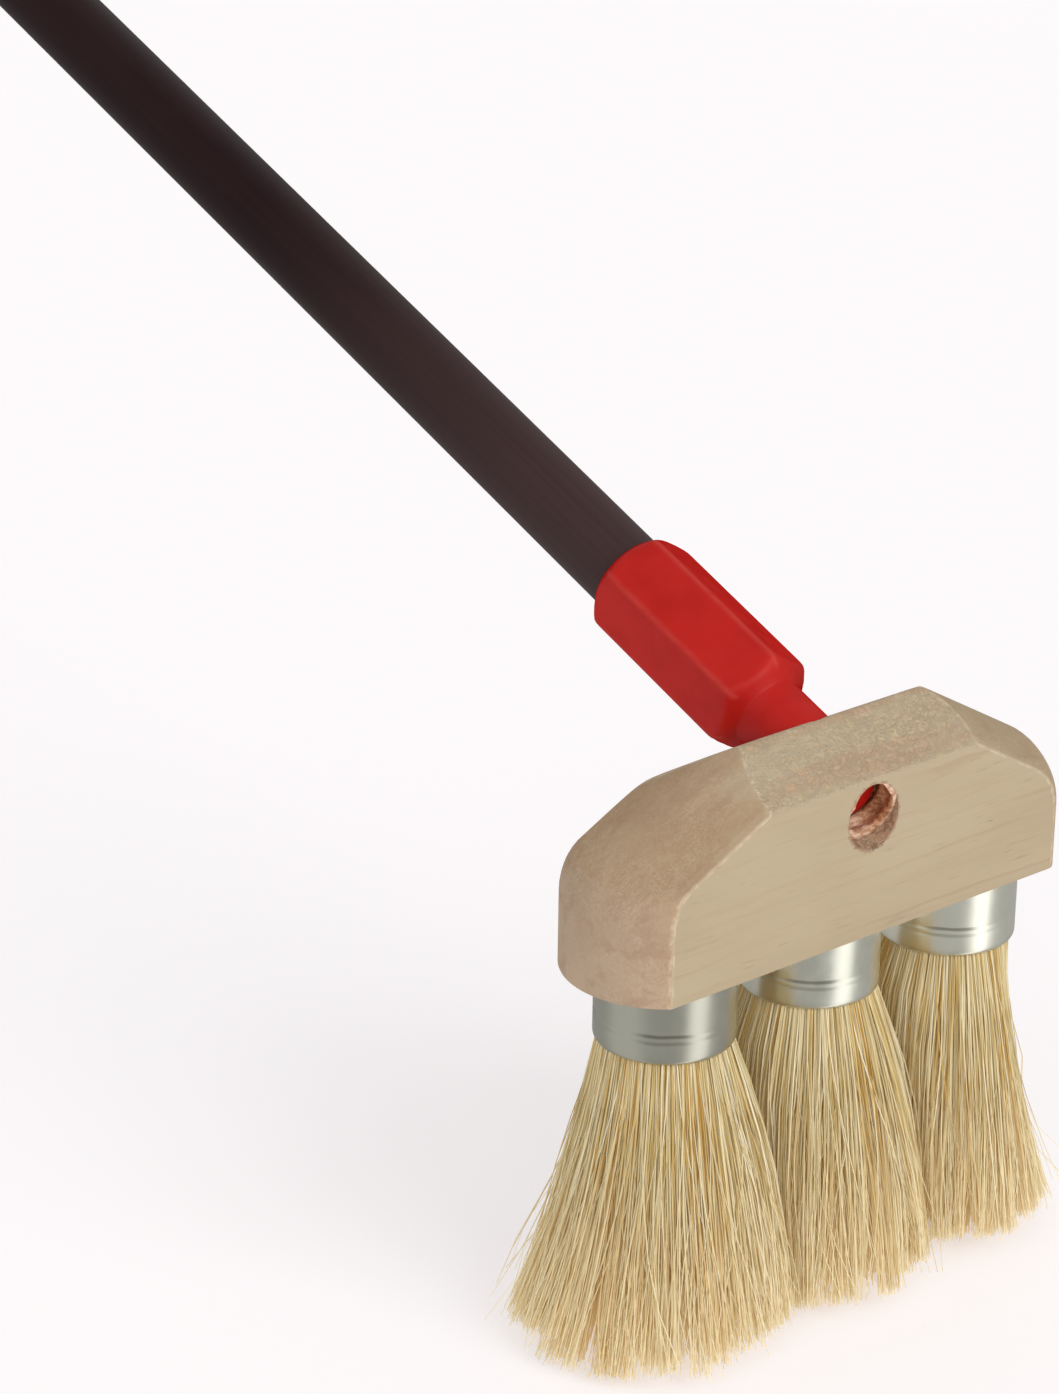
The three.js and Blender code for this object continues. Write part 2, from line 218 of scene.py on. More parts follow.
class Look:
    """A node material round one Principled shader, in the row frame's own metres."""

    def __init__(self, name):
        self.material = bpy.data.materials.new(name)
        self.material.use_nodes = True
        self.tree = self.material.node_tree
        self.shader = self.tree.nodes["Principled BSDF"]
        coordinates = self.add("ShaderNodeTexCoord").outputs
        self.place, self.normal = coordinates["Object"], coordinates["Normal"]

    def add(self, kind, inputs=None, **settings):
        return add_node(self.tree, kind, inputs, **settings)

    def set(self, **inputs):
        for key, value in inputs.items():
            connect(self.tree, self.shader.inputs[key.replace("_", " ")], value)

    def noise(self, scale, detail=3.0, rough=0.55, distortion=0.0, source=None):
        """Noise of so many cells a metre, from 0 to 1."""
        inputs = {"Vector": source or self.place, "Scale": scale, "Detail": detail}
        inputs |= {"Roughness": rough, "Distortion": distortion}
        return self.add("ShaderNodeTexNoise", inputs).outputs["Fac"]

    def grain(self, x, y, z, detail=3.0, rough=0.55, distortion=0.0, source=None):
        """Noise of so many cells a metre along each axis."""
        inputs = {"Vector": source or self.place, "Scale": (x, y, z)}
        scaled = self.add("ShaderNodeMapping", inputs).outputs["Vector"]
        return self.noise(1.0, detail, rough, distortion, scaled)

    def split(self, vector):
        return self.add("ShaderNodeSeparateXYZ", {"Vector": vector}).outputs

    def math(self, operation, a, b=0.0, clamp=False):
        settings = {"operation": operation, "use_clamp": clamp}
        return self.add("ShaderNodeMath", {0: a, 1: b}, **settings).outputs[0]

    def plus(self, a, b):
        return self.math("ADD", a, b)

    def minus(self, a, b):
        return self.math("SUBTRACT", a, b)

    def times(self, a, b):
        return self.math("MULTIPLY", a, b)

    def vector(self, operation, a, b=(0.0, 0.0, 0.0)):
        return self.add("ShaderNodeVectorMath", {0: a, 1: b}, operation=operation).outputs

    def between(self, value, low, high, out_low=0.0, out_high=1.0):
        inputs = {"Value": value, "From Min": low, "From Max": high}
        inputs |= {"To Min": out_low, "To Max": out_high}
        node = self.add("ShaderNodeMapRange", inputs, interpolation_type="SMOOTHSTEP")
        return node.outputs["Result"]

    def fade(self, value, low, high):
        """1 up to low, falling to 0 at high."""
        return self.between(value, low, high, 1.0, 0.0)

    def band(self, value, start, full, still_full, end):
        """1 from full to still_full, falling to 0 at start and end."""
        return self.times(self.between(value, start, full), self.fade(value, still_full, end))

    def mix(self, share, a, b):
        a, b = ((*colour, 1.0) if isinstance(colour, tuple) else colour for colour in (a, b))
        return self.add("ShaderNodeMix", {0: share, 6: a, 7: b}, data_type="RGBA").outputs[2]

    def tint(self, colour, *layers):
        """colour, moved by each layer of (share, strength, towards which colour) in turn."""
        for share, strength, towards in layers:
            colour = self.mix(self.times(share, strength), colour, towards)
        return colour

    def bump(self, layers):
        """layers are (height, strength, distance in metres), the finest last."""
        normal = None
        for height, strength, distance in layers:
            inputs = {"Height": height, "Strength": strength, "Distance": distance}
            if normal is not None:
                inputs["Normal"] = normal
            normal = self.add("ShaderNodeBump", inputs).outputs["Normal"]
        self.set(Normal=normal)


# ---- the wooden block
FACE_HEIGHT = 50.4 * MM
END_ARC = 30.1 * MM
CORNER_FILLET = 3 * MM
RIDGE_ROUND = 0.8 * MM
SHOULDER_ROUND = 15 * MM
BEVELS = {"front": 0.437, "back": 0.618}
# the shoulders are sawn unequally: where each leaves the ridge, its fall towards the end and across
# it, and the rounding where it meets the upright end
SHOULDERS = {
    "left": {"start": 31.3 * MM, "slope": 0.51, "front": 0.23, "back": 0.27, "knee": 6.5 * MM},
    "right": {"start": 41.5 * MM, "slope": 0.59, "front": 0.42, "back": 0.42, "knee": 9 * MM},
}
MITRE_SOFT = 0.5 * MM
WORN_SOFT = 2.0 * MM  # the left mitre wears rounder towards the back face
WORN_START = 20 * MM  # the wear is full from here to the left end
EDGE_ROUND = 0.9 * MM
# columns of the block's mesh: along a level face and a shoulder, close on either side of the mitre,
# and round the corner and the tip of the plan
LONG_COLUMNS, CREASE_COLUMNS, CORNER_COLUMNS, TIP_COLUMNS = 14, 6, 8, 27
CREASE_START, CREASE_END = -0.8 * MM, 1.2 * MM

arc_x = block_reach - END_ARC
fillet_y = half_width - CORNER_FILLET
fillet_x = arc_x + math.sqrt((END_ARC - CORNER_FILLET) ** 2 - fillet_y**2)
fillet_turn = math.atan2(fillet_y, fillet_x - arc_x)


def half_length(y):
    """Half the block's length, a distance y from its middle plane."""
    on_arc = arc_x + np.sqrt(np.maximum(0, END_ARC**2 - y**2))
    off_fillet = np.clip(abs(y) - fillet_y, 0, CORNER_FILLET)
    on_fillet = fillet_x + np.sqrt(CORNER_FILLET**2 - off_fillet**2)
    return np.where(abs(y) < END_ARC * math.sin(fillet_turn), on_arc, on_fillet)


def from_ridge(y, rounding):
    """Distance from the ridge, rounded where it passes zero."""
    return np.hypot(y, rounding) - rounding


def shoulder_size(x, key):
    return np.where(x < 0, SHOULDERS["left"][key], SHOULDERS["right"][key])


def falls(x, y):
    """The falls away from the ridge: of the bevel, and across the shoulder on the side of x."""
    bevel = np.where(y < 0, BEVELS["front"], BEVELS["back"]) * from_ridge(y, RIDGE_ROUND)
    share = from_ridge(y, SHOULDER_ROUND) / from_ridge(half_width, SHOULDER_ROUND)
    across = np.where(y < 0, shoulder_size(x, "front"), shoulder_size(x, "back"))
    return bevel, across * half_width * share


def mitre_at(x, y):
    """How far from the middle the bevel turns into the shoulder."""
    bevel, across = falls(x, y)
    return shoulder_size(x, "start") + (bevel - across) / shoulder_size(x, "slope")


def top_height(x, y):
    """Height of the top above the underside: the lower of bevel and shoulder, less the knee."""
    bevel, across = falls(x, y)
    shoulder = shoulder_size(x, "slope") * (abs(x) - shoulder_size(x, "start")) + across
    worn = np.clip(-x / WORN_START, 0, 1) * np.clip(y / half_width, 0, 1)
    fall = (bevel + shoulder + np.hypot(bevel - shoulder, MITRE_SOFT + WORN_SOFT * worn)) / 2
    size = shoulder_size(x, "knee")
    inward = np.clip(half_length(y) - abs(x), 0, size)
    knee = size - np.sqrt(size**2 - (size - inward) ** 2)
    return FACE_HEIGHT + BEVELS["front"] * from_ridge(half_width, RIDGE_ROUND) - fall - knee


def quarter_outline(end, face):
    """A quarter of the plan, from the middle of a face to the end's tip. Each row holds a point on
    the outline, its point on the spine and how closely the line between them follows the mitre."""
    mirror = (1 if end == "right" else -1, 1 if face == "back" else -1)
    start = SHOULDERS[end]["start"]
    mitre = float(mitre_at(mirror[0], mirror[1] * half_width))
    level = np.append(np.linspace(0, 1, LONG_COLUMNS)[:-1], 1 - CREASE_END / start)
    crease = np.linspace(CREASE_START, CREASE_END, CREASE_COLUMNS)
    share = np.linspace(0.07, 1, LONG_COLUMNS)
    rim_x = np.concatenate([level * mitre, mitre + crease, mitre + share * (fillet_x - mitre)])
    spine_x = np.concatenate([level * start, start + crease, start + share * (fillet_x - start)])
    rim = [(x, half_width) for x in rim_x]
    arcs = (
        (fillet_x, fillet_y, CORNER_FILLET, np.linspace(math.pi / 2, fillet_turn, CORNER_COLUMNS)),
        (arc_x, 0, END_ARC, np.linspace(fillet_turn, 0, TIP_COLUMNS)),
    )
    for x, y, radius, turns in arcs:
        rim += [(x + radius * math.cos(turn), y + radius * math.sin(turn)) for turn in turns[1:]]
    rows = np.zeros((len(rim), 5))
    rows[:, :2] = np.array(rim) * mirror
    rows[:, 2] = arc_x * mirror[0]
    rows[: len(spine_x), 2] = np.minimum(arc_x, spine_x) * mirror[0]
    rows[: len(spine_x), 4] = np.concatenate([level, np.ones(CREASE_COLUMNS), 1 - share])
    return rows


def block_outline():
    """The rows of all four quarters, going round the plan."""
    right_front, right_back = quarter_outline("right", "front"), quarter_outline("right", "back")
    left_back, left_front = quarter_outline("left", "back"), quarter_outline("left", "front")
    rounds = (right_front[:-1], right_back[:0:-1], left_back[:-1], left_front[:0:-1])
    return np.concatenate(rounds)


def block_blank():
    """Rings from the underside up the walls and over the top to the ridge line."""
    plan = block_outline()
    outline, spine, follow = plan[:, :2], plan[:, 2:4], plan[:, 4]
    to_spine = np.linalg.norm(spine - outline, axis=1)
    end = outline[:, 0]
    mitre_rim, mitre_spine = mitre_at(end, outline[:, 1]), shoulder_size(end, "start")
    rim = block_z + top_height(outline[:, 0], outline[:, 1]) - EDGE_ROUND
    rings = []
    # the foot is rounded over less than half a millimetre
    for inset, rise in ((0.45, 0), (0.13, 0.13), (0, 0.45)):
        level = outline + (spine - outline) * (inset * MM / to_spine)[:, None]
        rings.append(np.column_stack([level, np.full(len(outline), block_z + rise * MM)]))
    foot = rings[-1][:, 2]
    wall_rings = 7
    for share in np.linspace(0, 1, wall_rings + 1)[1:]:
        rings.append(np.column_stack([outline, foot + (rim - foot) * share]))
    # the top's rings, by distance inwards: over the edge and the knee, and closer to the ridge
    over_edge = np.array([0.15, 0.5, 0.9]) * MM
    over_knee = SHOULDERS["right"]["knee"] * (1 - np.cos(np.radians(np.arange(7.5, 91, 7.5))))
    to_ridge = half_width - np.array([13, 11.2, 9.4, 7.6, 6, 4.6, 3.4, 2.4, 1.6, 0.8, 0]) * MM
    for inward in np.sort(np.concatenate([over_edge, over_knee, to_ridge])):
        level = outline + (spine - outline) * (inward / half_width)
        straight = mitre_rim + (mitre_spine - mitre_rim) * (inward / half_width)
        level[:, 0] += np.sign(end) * follow * (mitre_at(end, level[:, 1]) - straight)
        depth = np.clip(inward * to_spine / half_width, 0, EDGE_ROUND)
        drop = EDGE_ROUND - np.sqrt(EDGE_ROUND**2 - (EDGE_ROUND - depth) ** 2)
        height = block_z + top_height(level[:, 0], level[:, 1]) - drop
        rings.append(np.column_stack([level, height]))
    count = len(outline)
    faces = [list(range(count))[::-1]]
    for low in range(0, (len(rings) - 1) * count, count):
        faces += quads_between(low, low + count, count)
    block = make_mesh("wood_block", np.concatenate(rings), faces)
    mesh = bmesh.new()
    mesh.from_mesh(block.data)
    bmesh.ops.remove_doubles(mesh, verts=mesh.verts, dist=1e-6)
    mesh.to_mesh(block.data)
    mesh.free()
    return block


def build_block():
    block = block_blank()
    thread_sides, drill_sides = 72, 96
    in_front, behind = -10 * MM, 67 * MM  # of the block, along the handle's axis
    thread_end = COLLAR_FOOT + 5 * MM
    angle = np.linspace(0, 2 * math.pi, thread_sides, endpoint=False)
    root = THREAD_RADIUS - THREAD_DEPTH / 2 + THREAD_CLEARANCE
    rings = [(in_front, 0.0)]
    for height in np.arange(in_front, thread_end, THREAD_PITCH / THREAD_ROWS):
        rings.append((height, root + THREAD_DEPTH * thread_wave(angle, height)))
    rings.append((thread_end, 0.0))
    cut(block, loft("thread_cutter", rings, thread_sides, handle_frame))

    def drill(radius, bottom, top, matrix):
        corners = [(0, bottom), (radius, bottom), (radius, top), (0, top)]
        cut(block, lathe("drill", corners, drill_sides, matrix))

    mouth_depth, mouth_room, hex_room = 1.6 * MM, 0.1 * MM, 0.9 * MM
    hex_corner = HEX_APOTHEM * 2 / math.sqrt(3)
    drill(root + THREAD_DEPTH + mouth_room, in_front, mouth_depth, handle_frame)
    drill(COLLAR_RADIUS + 2 * SLIP, COLLAR_FOOT - SLIP, behind, handle_frame)
    drill(hex_corner + hex_room, HEX_FOOT - 2 * SLIP, behind, handle_frame)
    below = 5 * MM
    for side in SIDES:
        place = Matrix.Translation((knot_x[side], 0, 0))
        drill(ferrule_radius + SLIP, block_z - below, ferrule_top + SLIP, place)
    block.data.shade_smooth()
    block.data.set_sharp_from_angle(angle=math.radians(28))
    place_piece(block, wood_look(), "head_block", "head")


def wood_look():
    look = Look("bare_hardwood")
    place_x, place_y, place_z = look.split(look.place)
    normal_x, _, normal_z = look.split(look.normal)
    endways = look.math("ABSOLUTE", normal_x)
    end_grain = look.between(endways, 0.12, 0.45)
    square_end = look.between(endways, 0.5, 0.85)
    sawn = look.times(look.between(normal_z, 0.45, 0.8), look.fade(endways, 0.1, 0.3))

    # growth rings about a line far below and behind the block, which runs along X
    heart_y, heart_z, rings_per_metre = 0.21, -0.16, 150
    out_y = look.math("POWER", look.minus(place_y, heart_y), 2)
    out_z = look.math("POWER", look.minus(place_z, heart_z), 2)
    reach = look.math("SQRT", look.plus(out_y, out_z))
    reach = look.plus(reach, look.times(look.grain(4, 16, 16, 2.0), 0.034))
    reach = look.plus(reach, look.times(look.grain(30, 90, 90, 2.0), 0.004))
    ring = look.math("FRACT", look.times(reach, rings_per_metre))
    strength = look.between(look.grain(14, 80, 80, 2.0), 0.40, 0.68)
    line = look.times(look.band(ring, 0.74, 0.96, 0.96, 1.0), strength)
    streak = look.grain(14, 520, 520, 4.0, 0.6)
    fleck = look.grain(170, 1100, 1100, 3.0, 0.6)
    spot = look.grain(75, 480, 480, 2.0)
    dash = look.grain(55, 900, 900, 2.0)
    patch = look.grain(14, 34, 34, 3.0, 0.5)

    colour = look.mix(look.between(patch, 0.3, 0.7), (0.455, 0.362, 0.235), (0.500, 0.405, 0.268))
    colour = look.tint(
        colour,
        (line, 0.45, (0.40, 0.265, 0.165)),
        (look.between(streak, 0.5, 0.8), 0.26, (0.385, 0.285, 0.17)),
        (look.between(fleck, 0.58, 0.82), 0.22, (0.56, 0.47, 0.33)),
        (look.between(dash, 0.63, 0.72), 0.40, (0.33, 0.235, 0.14)),
        (look.between(spot, 0.75, 0.79), 0.5, (0.22, 0.14, 0.08)),
    )

    # the sloping shoulders and the ends cut across the fibres, and are pinker and duller
    end_speck = look.grain(1500, 1500, 1100, 3.0, 0.6)
    pale_speck = look.between(end_speck, 0.45, 0.75)
    end_hair = look.grain(95, 520, 520, 4.0, 0.65, 0.4)
    end_cloud = look.between(look.grain(40, 40, 26, 3.0, 0.6), 0.25, 0.75)
    end_colour = look.mix(end_cloud, (0.405, 0.262, 0.148), (0.490, 0.342, 0.205))
    # painted shade: the ends and shoulders are painted darker towards the back face
    behind = look.between(place_y, 2 * MM, 22 * MM)
    end_colour = look.tint(
        end_colour,
        (behind, 0.6, (0.39, 0.235, 0.115)),
        (look.between(end_hair, 0.45, 0.75), 0.35, (0.50, 0.37, 0.25)),
        (pale_speck, 0.25, (0.54, 0.41, 0.29)),
    )
    square = look.mix(end_cloud, (0.420, 0.285, 0.190), (0.500, 0.365, 0.250))
    square = look.tint(square, (pale_speck, 0.3, (0.58, 0.45, 0.32)))
    end_colour = look.mix(square_end, end_colour, square)
    far_shoulder = look.between(place_x, 25 * MM, 40 * MM, 0.0, 0.8)
    end_colour = look.mix(far_shoulder, end_colour, (0.385, 0.290, 0.175))
    colour = look.tint(colour, (end_grain, 0.92, end_colour))

    # the saw left short torn hairs across the two long bevels
    curl = look.grain(210, 210, 210, 5.0, 0.68, 2.6)
    hair = look.math("ABSOLUTE", look.minus(look.times(curl, 2.0), 1.0))
    tear = look.fade(hair, 0.0, 0.11)
    shadow_hair = look.band(hair, 0.10, 0.18, 0.18, 0.30)
    fuzzy = look.between(look.grain(28, 45, 45, 2.0), 0.35, 0.62, 0.25, 1.0)
    rosy = look.between(look.grain(12, 150, 150, 2.0), 0.45, 0.62)
    sawn_colour = look.mix(rosy, (0.605, 0.472, 0.302), (0.580, 0.398, 0.252))
    sawn_colour = look.tint(sawn_colour, (shadow_hair, 0.35, (0.36, 0.25, 0.155)))
    torn_hair = look.times(look.times(tear, fuzzy), 0.85)
    sawn_colour = look.mix(torn_hair, sawn_colour, (0.76, 0.67, 0.49))
    colour = look.tint(colour, (sawn, 0.88, sawn_colour))
    stray_hair = look.times(torn_hair, look.times(end_grain, 0.5))
    colour = look.mix(stray_hair, colour, (0.60, 0.48, 0.35))
    long_streak = look.grain(10, 130, 130, 3.0, 0.6)
    dull_streak = look.times(look.between(long_streak, 0.50, 0.68), end_grain)
    colour = look.tint(colour, (dull_streak, 0.40, (0.36, 0.220, 0.130)))
    # torn fibres stand pale along the front edges of the shoulders and ends, and along the mitres
    from_front = look.plus(place_y, half_width)
    front_edge = look.fade(from_front, 0.3 * MM, 1.0 * MM)
    torn_edge = look.between(look.grain(260, 500, 260, 3.0, 0.6), 0.40, 0.62)
    beside = look.fade(from_front, 2.2 * MM, 3.4 * MM)
    round_corner = look.times(beside, look.band(endways, 0.12, 0.24, 0.34, 0.5))
    pale_edge = look.times(look.times(front_edge, end_grain), torn_edge)
    pale_edge = look.math("MAXIMUM", pale_edge, look.times(round_corner, 0.4))
    seam = look.band(endways, 0.06, 0.14, 0.24, 0.34)
    pale_edge = look.math("MAXIMUM", pale_edge, look.times(seam, torn_edge))
    worn = look.times(look.between(look.noise(36, 2.0), 0.60, 0.74), end_grain)
    colour = look.tint(
        colour, (pale_edge, 0.6, (0.70, 0.58, 0.42)), (worn, 0.35, (0.53, 0.45, 0.32))
    )

    # inside the handle's hole the wood is reddish, and its front rim is ragged
    from_mouth = look.vector("SUBTRACT", look.place, hole_mouth)[0]
    across = look.vector("CROSS_PRODUCT", from_mouth, handle_axis)[0]
    off_axis = look.vector("LENGTH", across)["Value"]
    ragged = look.noise(620, 3.0, 0.6)
    rim = look.plus(off_axis, look.times(look.minus(ragged, 0.5), 3.4 * MM))
    torn = look.fade(rim, 9.9 * MM, 10.3 * MM)
    chip = look.times(torn, look.between(look.noise(420, 2.0), 0.52, 0.60))
    inside = look.fade(off_axis, 9.55 * MM, 9.8 * MM)
    fibrous = look.grain(300, 900, 900, 3.0, 0.6)
    # painted shade: the hole's wall facing -x is painted darker than the rest, in both fibrous
    # tones
    shaded_side = look.fade(normal_x, -0.7, -0.15)
    dark_wall = look.mix(shaded_side, (0.50, 0.26, 0.15), (0.30, 0.105, 0.035))
    light_wall = look.mix(shaded_side, (0.85, 0.62, 0.46), (0.60, 0.30, 0.15))
    wall = look.mix(look.between(fibrous, 0.38, 0.62), dark_wall, light_wall)
    colour = look.tint(
        colour,
        (torn, 0.55, (0.33, 0.18, 0.105)),
        (chip, 0.6, (0.16, 0.09, 0.05)),
        (inside, 0.9, wall),
    )

    look.set(Base_Color=colour)
    look.set(Roughness=look.between(streak, 0.2, 0.8, 0.55, 0.72))
    look.set(Specular_IOR_Level=0.28)
    grain = look.plus(streak, look.times(fleck, 0.5))
    long_share = look.minus(1.0, look.math("MAXIMUM", end_grain, sawn))
    end_rough = look.plus(look.times(end_hair, 0.7), look.times(end_speck, 0.4))
    look.bump(
        [
            (look.times(torn, ragged), 0.6, 0.6 * MM),
            (look.times(tear, sawn), 0.7, 0.30 * MM),
            (look.times(grain, long_share), 0.35, 0.12 * MM),
            (look.times(end_rough, end_grain), 0.45, 0.20 * MM),
        ]
    )
    return look.material


# ---- ferrules
LOW_GROOVE, HIGH_GROOVE = 7 * MM, 9.2 * MM  # above the mouth
GROOVE_DEPTH = 0.06 * MM
CUP_SIDES = 144
# points across a groove: the height from its middle, and the share of its depth
GROOVE_POINTS = ((-0.62 * MM, 0), (-0.32 * MM, 0.6), (0, 1), (0.32 * MM, 0.6), (0.62 * MM, 0))


def ferrule_corners():
    """The cup's profile: rolled lip, two fine grooves, upright wall and drawn shoulder."""
    wall, screw_hole = 0.6 * MM, 3.1 * MM
    lip = 1.7 * MM
    lip_depth = 0.62 * lip
    shoulder, inner_shoulder = 1.6 * MM, 1.4 * MM
    outside = [(ferrule_radius - 1.25 * MM, mouth_z + 0.35 * MM)]
    for turn in np.radians(range(-80, 1, 16)):
        radius = ferrule_radius - lip_depth * (1 - math.cos(turn))
        outside.append((radius, mouth_z + lip * (1 + math.sin(turn))))
    for groove in (LOW_GROOVE, HIGH_GROOVE):
        for rise, share in GROOVE_POINTS:
            outside.append((ferrule_radius - GROOVE_DEPTH * share, mouth_z + groove + rise))
    for turn in np.radians(range(0, 91, 15)):
        radius = ferrule_radius - shoulder * (1 - math.cos(turn))
        outside.append((radius, ferrule_top - shoulder * (1 - math.sin(turn))))
    inner, ceiling = ferrule_radius - wall, ferrule_top - wall
    inside = [(screw_hole, ferrule_top), (screw_hole, ceiling), (inner - inner_shoulder, ceiling)]
    inside += [(inner, ceiling - inner_shoulder), (inner, mouth_z + lip)]
    return outside + inside + [(ferrule_radius - 1.3 * MM, mouth_z + 0.9 * MM)]


def steel_look():
    look = Look("drawn_steel")
    place_x, _, place_z = look.split(look.place)
    normal_x = look.split(look.normal)["X"]
    # faint drawing lines run round the cup, so they vary quickly with height only
    lines = look.grain(30, 30, 4200, 3.0, 0.6)
    cloud = look.noise(120, 4.0, 0.6)
    stain = look.grain(70, 70, 40, 2.0)
    scratch = look.grain(900, 900, 90, 3.0, 0.7)
    colour = look.mix(look.between(cloud, 0.3, 0.72), (0.80, 0.80, 0.70), (0.89, 0.89, 0.81))
    # painted reflection: the left cup is painted darker and the right one brighter
    painted_dark_reflection = look.between(place_x, -45 * MM, -15 * MM, 0.75, 0.0)
    colour = look.mix(painted_dark_reflection, colour, (0.51, 0.50, 0.43))
    painted_bright_reflection = look.between(place_x, 15 * MM, 40 * MM, 0.0, 0.9)
    colour = look.mix(painted_bright_reflection, colour, (0.97, 0.965, 0.86))
    stained = look.between(stain, 0.5, 0.75)
    foot = look.fade(place_z, mouth_z, mouth_z + 3 * MM)
    colour = look.tint(
        colour, (stained, 0.35, (0.60, 0.575, 0.47)), (foot, 0.3, (0.45, 0.43, 0.36))
    )
    # painted shade: the two grooves are darkened on the side away from the handle
    shaded_groove_side = look.band(normal_x, -0.95, -0.80, -0.45, -0.25)
    wander = look.times(look.minus(look.noise(90, 2.0), 0.5), 1.2 * MM)
    above = look.plus(look.minus(place_z, mouth_z), wander)
    for groove, strength in ((LOW_GROOVE, 0.30), (HIGH_GROOVE, 0.55)):
        away = look.math("ABSOLUTE", look.minus(above, groove))
        groove_shade = look.times(look.fade(away, 0.25 * MM, 0.8 * MM), shaded_groove_side)
        colour = look.tint(colour, (groove_shade, strength, (0.10, 0.085, 0.05)))
    look.set(Base_Color=colour, Metallic=1.0)
    scratched = look.between(scratch, 0.6, 0.8, 0.0, 0.08)
    look.set(Roughness=look.plus(look.between(cloud, 0.2, 0.8, 0.27, 0.36), scratched))
    look.bump([(cloud, 0.05, 0.5 * MM), (scratch, 0.08, 0.05 * MM), (lines, 0.10, 0.03 * MM)])
    return look.material


def build_ferrules():
    steel = steel_look()
    for side in SIDES:
        place = Matrix.Translation((knot_x[side], 0, 0))
        cup = lathe(f"ferrule_cup_{side}", ferrule_corners(), CUP_SIDES, place, closed=True)
        place_piece(cup, steel, f"ferrule_{side}", "head")


# ---- fibre knots
OUTER_FIBRES = 3700
INNER_FIBRES = 1700
OUTER_STEPS = 6
INNER_STEPS = 4
CLUMPS = 80
TINT_AND_SHADE = "fibre_tint_and_shade"
NECK_RADIUS = ferrule_radius - 1.75 * MM
CORE_SHARE = 0.80  # of the knot's radius
CORE_RISE = 14 * MM  # from the tips to the end of the core
OUTWARD = {"left": math.pi, "middle": None, "right": 0.0}
REACH_GAIN = {"left": 0.12, "middle": 0.0, "right": -0.17}  # towards the outward side
LATE = {"left": 0.6, "middle": 0.0, "right": 2.0}  # how late the outward side spreads
FRONT_GAIN = {"left": 0.04, "middle": 0.03, "right": -0.02}
TIP_RISE = {"left": 3.5 * MM, "middle": 4 * MM, "right": 6 * MM}  # of the front fibres' tips


def fibre_look():
    look = Look("plant_fibre")
    tint = look.add("ShaderNodeAttribute", attribute_name=TINT_AND_SHADE).outputs["Fac"]
    along = look.grain(160, 160, 40, 2.0)
    shade = look.math("ADD", tint, look.times(look.minus(along, 0.5), 0.5), True)
    # the ramp's dark end is painted shade, for the deep fibres and the core
    ramp = look.add("ShaderNodeValToRGB", {"Fac": shade})
    elements = ramp.color_ramp.elements
    elements[0].color, elements[1].color = (0.42, 0.205, 0.028, 1), (0.86, 0.780, 0.560, 1)
    elements.new(0.25).color = (0.60, 0.405, 0.125, 1)
    elements.new(0.55).color = (0.71, 0.590, 0.305, 1)
    # painted light: the lower part of the knot is painted paler
    low = look.between(look.split(look.place)["Z"], 4 * MM, 75 * MM, 0.60, 0.0)
    colour = look.mix(low, ramp.outputs["Color"], (0.96, 0.86, 0.60))
    look.set(Base_Color=colour, Roughness=look.between(along, 0.2, 0.8, 0.42, 0.6))
    look.set(Specular_IOR_Level=0.22)
    # painted glow: emission stands in for light that passes through the thin fibres and warms the
    # gaps between them, and adds a little light to the lower part
    glow = look.plus(look.between(shade, 0.0, 0.5, 0.10, 0.012), look.times(low, 0.03))
    look.set(Emission_Color=(1.0, 0.57, 0.12, 1.0), Emission_Strength=glow)
    look.bump([(look.grain(1800, 1800, 260, 2.0), 0.3, 0.05 * MM)])
    return look.material


def squeeze(value, limit, soft):
    """value, eased so that it never passes limit."""
    over = np.maximum(0, value - (limit - soft))
    return np.where(value > limit - soft, limit - soft * np.exp(-over / soft), value)


def knot_reach_at(side, angle):
    outward = 0 if OUTWARD[side] is None else np.cos(angle - OUTWARD[side])
    front = FRONT_GAIN[side] * np.maximum(0, -np.sin(angle))
    return knot_reach * (1 + front + REACH_GAIN[side] * np.maximum(0, outward))


def knot_flare(side, angle, share):
    """How far towards its reach the knot has spread, a share of the way down from the mouth."""
    early = 0.5
    if OUTWARD[side] is not None:
        outward = np.cos(angle - OUTWARD[side])
        early = 0.15 - np.where(outward > 0, LATE[side], 0.6) * outward
    return share * (1 + early * (1 - share))


def press(side, x):
    """Neighbouring knots press flat against each other."""
    limit = knot_half - 0.2 * MM
    soft = 5 * MM
    if side != "left":
        x = -squeeze(-x, limit, soft)
    if side != "right":
        x = squeeze(x, limit, soft)
    return x


def around(angle, radius):
    return np.stack([np.cos(angle), np.sin(angle)], 1) * radius[:, None]


